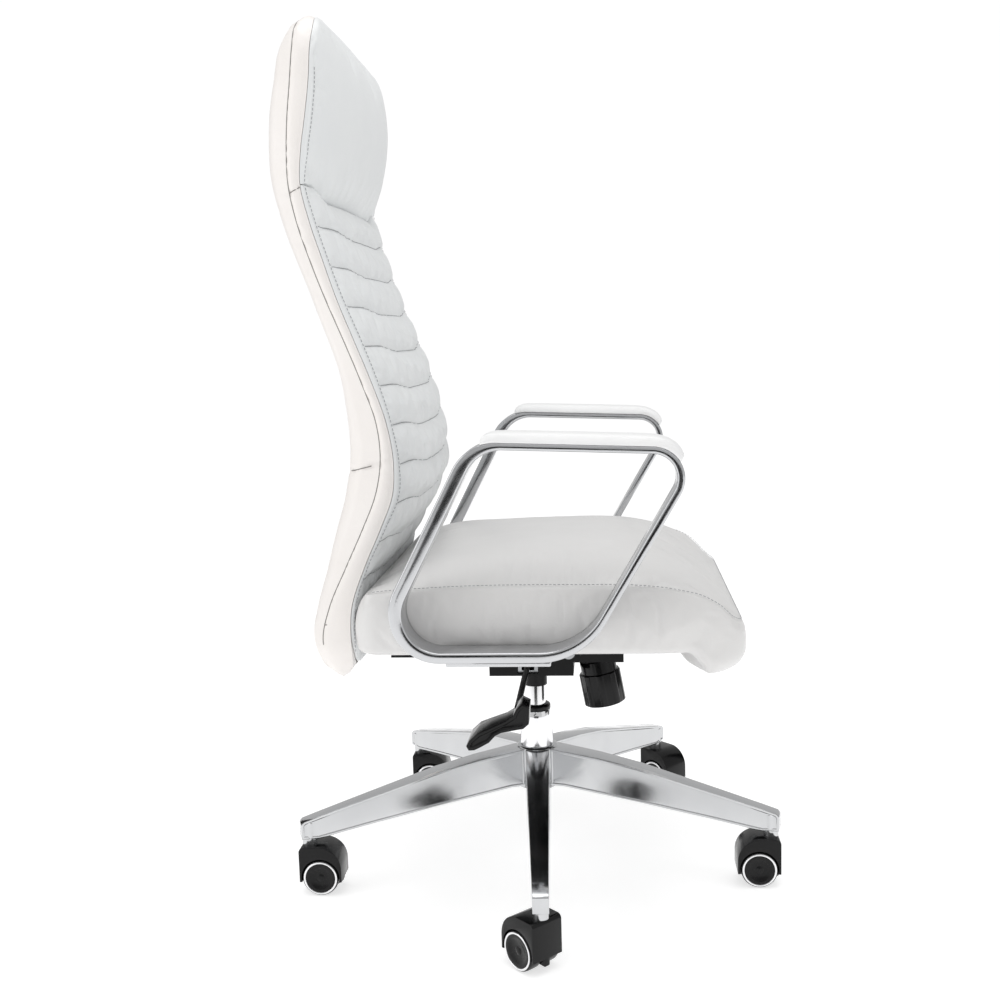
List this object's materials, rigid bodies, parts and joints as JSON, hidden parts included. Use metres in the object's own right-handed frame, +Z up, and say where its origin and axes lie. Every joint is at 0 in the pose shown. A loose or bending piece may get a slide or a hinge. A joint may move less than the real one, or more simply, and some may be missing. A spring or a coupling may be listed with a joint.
{
  "type": "swivel office chair",
  "caption": "High-back executive swivel chair: padded leather seat and channelled back with headrest, polished loop arms, gas lift, tilt mechanism and star base on casters.",
  "frame": {"origin": "on the floor, on the axis of the swivel column", "axes": "+X towards the front of the seat, +Y towards the chair's left side, +Z up"},
  "size_m": [0.6581, 0.6613, 1.15],
  "materials": {
    "cast_aluminium": "polished",
    "chrome_plate": "mirror polished",
    "bright_steel": "zinc plated",
    "black_steel": "satin black powder coat",
    "valve_brass": "turned",
    "plywood": "raw plywood",
    "seat_leather": "smooth white, fine grain",
    "front_leather": "smooth cool white, channelled",
    "rear_leather": "smooth warm white, stitched",
    "pad_leather": "smooth bright white",
    "wheel_nylon": "satin black",
    "hood_nylon": "gloss black",
    "black_plastic": "semi-gloss black"
  },
  "bodies": {
    "base": {"star_base": "cast_aluminium", "gas_column": "chrome_plate", "column_bush": "black_plastic"},
    "lift_rod": {"piston_rod": "bright_steel", "thrust_bearing": "bright_steel", "retaining_clip": "bright_steel"},
    "chassis": {"gas_cylinder": "chrome_plate", "mechanism_housing": "black_steel", "tilt_axle": "bright_steel", "tension_spring": "bright_steel"},
    "tension_adjuster": {"tension_knob": "black_plastic", "tension_bolt": "bright_steel"},
    "tilt_lock": {"lock_slider": "black_steel"},
    "lever": {"lever_rod": "black_steel", "lever_handle": "black_plastic"},
    "valve": {"valve_button": "valve_brass"},
    "upper": {"seat_plate": "black_steel", "seat_pan": "plywood", "seat_cushion": "seat_leather", "bottom_cover": "black_plastic", "back_bracket": "black_steel", "back_shell": "plywood", "back_cover": "rear_leather", "back_cushion": "front_leather", "headrest_cushion": "front_leather", "arm_loop_left": "cast_aluminium", "arm_loop_right": "cast_aluminium", "arm_pad_left": "pad_leather", "arm_pad_right": "pad_leather", "screws": "bright_steel"},
    "caster_1": {"caster_1_housing": "hood_nylon", "caster_1_pins": "bright_steel"},
    "caster_1_left_wheel": {"caster_1_wheel_left": "wheel_nylon", "caster_1_ring_left": "chrome_plate"},
    "caster_1_right_wheel": {"caster_1_wheel_right": "wheel_nylon", "caster_1_ring_right": "chrome_plate"},
    "caster_2": {"caster_2_housing": "hood_nylon", "caster_2_pins": "bright_steel"},
    "caster_2_left_wheel": {"caster_2_wheel_left": "wheel_nylon", "caster_2_ring_left": "chrome_plate"},
    "caster_2_right_wheel": {"caster_2_wheel_right": "wheel_nylon", "caster_2_ring_right": "chrome_plate"},
    "caster_3": {"caster_3_housing": "hood_nylon", "caster_3_pins": "bright_steel"},
    "caster_3_left_wheel": {"caster_3_wheel_left": "wheel_nylon", "caster_3_ring_left": "chrome_plate"},
    "caster_3_right_wheel": {"caster_3_wheel_right": "wheel_nylon", "caster_3_ring_right": "chrome_plate"},
    "caster_4": {"caster_4_housing": "hood_nylon", "caster_4_pins": "bright_steel"},
    "caster_4_left_wheel": {"caster_4_wheel_left": "wheel_nylon", "caster_4_ring_left": "chrome_plate"},
    "caster_4_right_wheel": {"caster_4_wheel_right": "wheel_nylon", "caster_4_ring_right": "chrome_plate"},
    "caster_5": {"caster_5_housing": "hood_nylon", "caster_5_pins": "bright_steel"},
    "caster_5_left_wheel": {"caster_5_wheel_left": "wheel_nylon", "caster_5_ring_left": "chrome_plate"},
    "caster_5_right_wheel": {"caster_5_wheel_right": "wheel_nylon", "caster_5_ring_right": "chrome_plate"}
  },
  "joints": [
    {"name": "seat_swivel", "type": "hinge", "parent": "base", "child": "lift_rod", "pos_m": [0, 0, 0.041], "axis": [0, 0, 1], "continuous": true},
    {"name": "seat_height", "type": "slide", "parent": "lift_rod", "child": "chassis", "axis": [0, 0, 1], "range_m": [-0.025, 0.065]},
    {"name": "seat_tilt", "type": "hinge", "parent": "chassis", "child": "upper", "pos_m": [0.05, 0, 0.315], "axis": [0, -1, 0], "range_deg": [0, 15], "stiffness_Nm_per_rad": 110, "springref_deg": -20.05},
    {"name": "tension_knob_turn", "type": "hinge", "parent": "chassis", "child": "tension_adjuster", "pos_m": [0.094, 0, 0.261], "axis": [-0.1736, 0, 0.9848], "range_deg": [-720, 720]},
    {"name": "tilt_lock_slide", "type": "slide", "parent": "chassis", "child": "tilt_lock", "axis": [0, -1, 0], "range_m": [0, 0.012]},
    {"name": "lever_lift", "type": "hinge", "parent": "tilt_lock", "child": "lever", "pos_m": [-0.008, -0.03, 0.295], "axis": [-1, 0, 0], "range_deg": [0, 5], "stiffness_Nm_per_rad": 4, "springref_deg": -20.05},
    {"name": "valve_press", "type": "slide", "parent": "chassis", "child": "valve", "axis": [0, 0, -1], "range_m": [0, 0.003]},
    {"name": "caster_1_swivel", "type": "hinge", "parent": "base", "child": "caster_1", "pos_m": [0.02033, -0.33238, 0.06], "axis": [0, 0, 1], "continuous": true},
    {"name": "caster_1_left_roll", "type": "hinge", "parent": "caster_1", "child": "caster_1_left_wheel", "pos_m": [0.0076, -0.31965, 0.025], "axis": [-0.7071, -0.7071, 0], "continuous": true},
    {"name": "caster_1_right_roll", "type": "hinge", "parent": "caster_1", "child": "caster_1_right_wheel", "pos_m": [0.0076, -0.31965, 0.025], "axis": [-0.7071, -0.7071, 0], "continuous": true},
    {"name": "caster_2_swivel", "type": "hinge", "parent": "base", "child": "caster_2", "pos_m": [0.32239, -0.08338, 0.06], "axis": [0, 0, 1], "continuous": true},
    {"name": "caster_2_left_roll", "type": "hinge", "parent": "caster_2", "child": "caster_2_left_wheel", "pos_m": [0.30439, -0.08338, 0.025], "axis": [0, -1, 0], "continuous": true},
    {"name": "caster_2_right_roll", "type": "hinge", "parent": "caster_2", "child": "caster_2_right_wheel", "pos_m": [0.30439, -0.08338, 0.025], "axis": [0, -1, 0], "continuous": true},
    {"name": "caster_3_swivel", "type": "hinge", "parent": "base", "child": "caster_3", "pos_m": [0.17892, 0.28085, 0.06], "axis": [0, 0, 1], "continuous": true},
    {"name": "caster_3_left_roll", "type": "hinge", "parent": "caster_3", "child": "caster_3_left_wheel", "pos_m": [0.19165, 0.26812, 0.025], "axis": [0.7071, 0.7071, 0], "continuous": true},
    {"name": "caster_3_right_roll", "type": "hinge", "parent": "caster_3", "child": "caster_3_right_wheel", "pos_m": [0.19165, 0.26812, 0.025], "axis": [0.7071, 0.7071, 0], "continuous": true},
    {"name": "caster_4_swivel", "type": "hinge", "parent": "base", "child": "caster_4", "pos_m": [-0.21181, 0.25695, 0.06], "axis": [0, 0, 1], "continuous": true},
    {"name": "caster_4_left_roll", "type": "hinge", "parent": "caster_4", "child": "caster_4_left_wheel", "pos_m": [-0.19381, 0.25695, 0.025], "axis": [0, 1, 0], "continuous": true},
    {"name": "caster_4_right_roll", "type": "hinge", "parent": "caster_4", "child": "caster_4_right_wheel", "pos_m": [-0.19381, 0.25695, 0.025], "axis": [0, 1, 0], "continuous": true},
    {"name": "caster_5_swivel", "type": "hinge", "parent": "base", "child": "caster_5", "pos_m": [-0.30983, -0.12204, 0.06], "axis": [0, 0, 1], "continuous": true},
    {"name": "caster_5_left_roll", "type": "hinge", "parent": "caster_5", "child": "caster_5_left_wheel", "pos_m": [-0.29183, -0.12204, 0.025], "axis": [0, 1, 0], "continuous": true},
    {"name": "caster_5_right_roll", "type": "hinge", "parent": "caster_5", "child": "caster_5_right_wheel", "pos_m": [-0.29183, -0.12204, 0.025], "axis": [0, 1, 0], "continuous": true}
  ],
  "couplings": [
    {"joint": "valve_press", "follows": "lever_lift", "m_per_rad": 0.03}
  ]
}
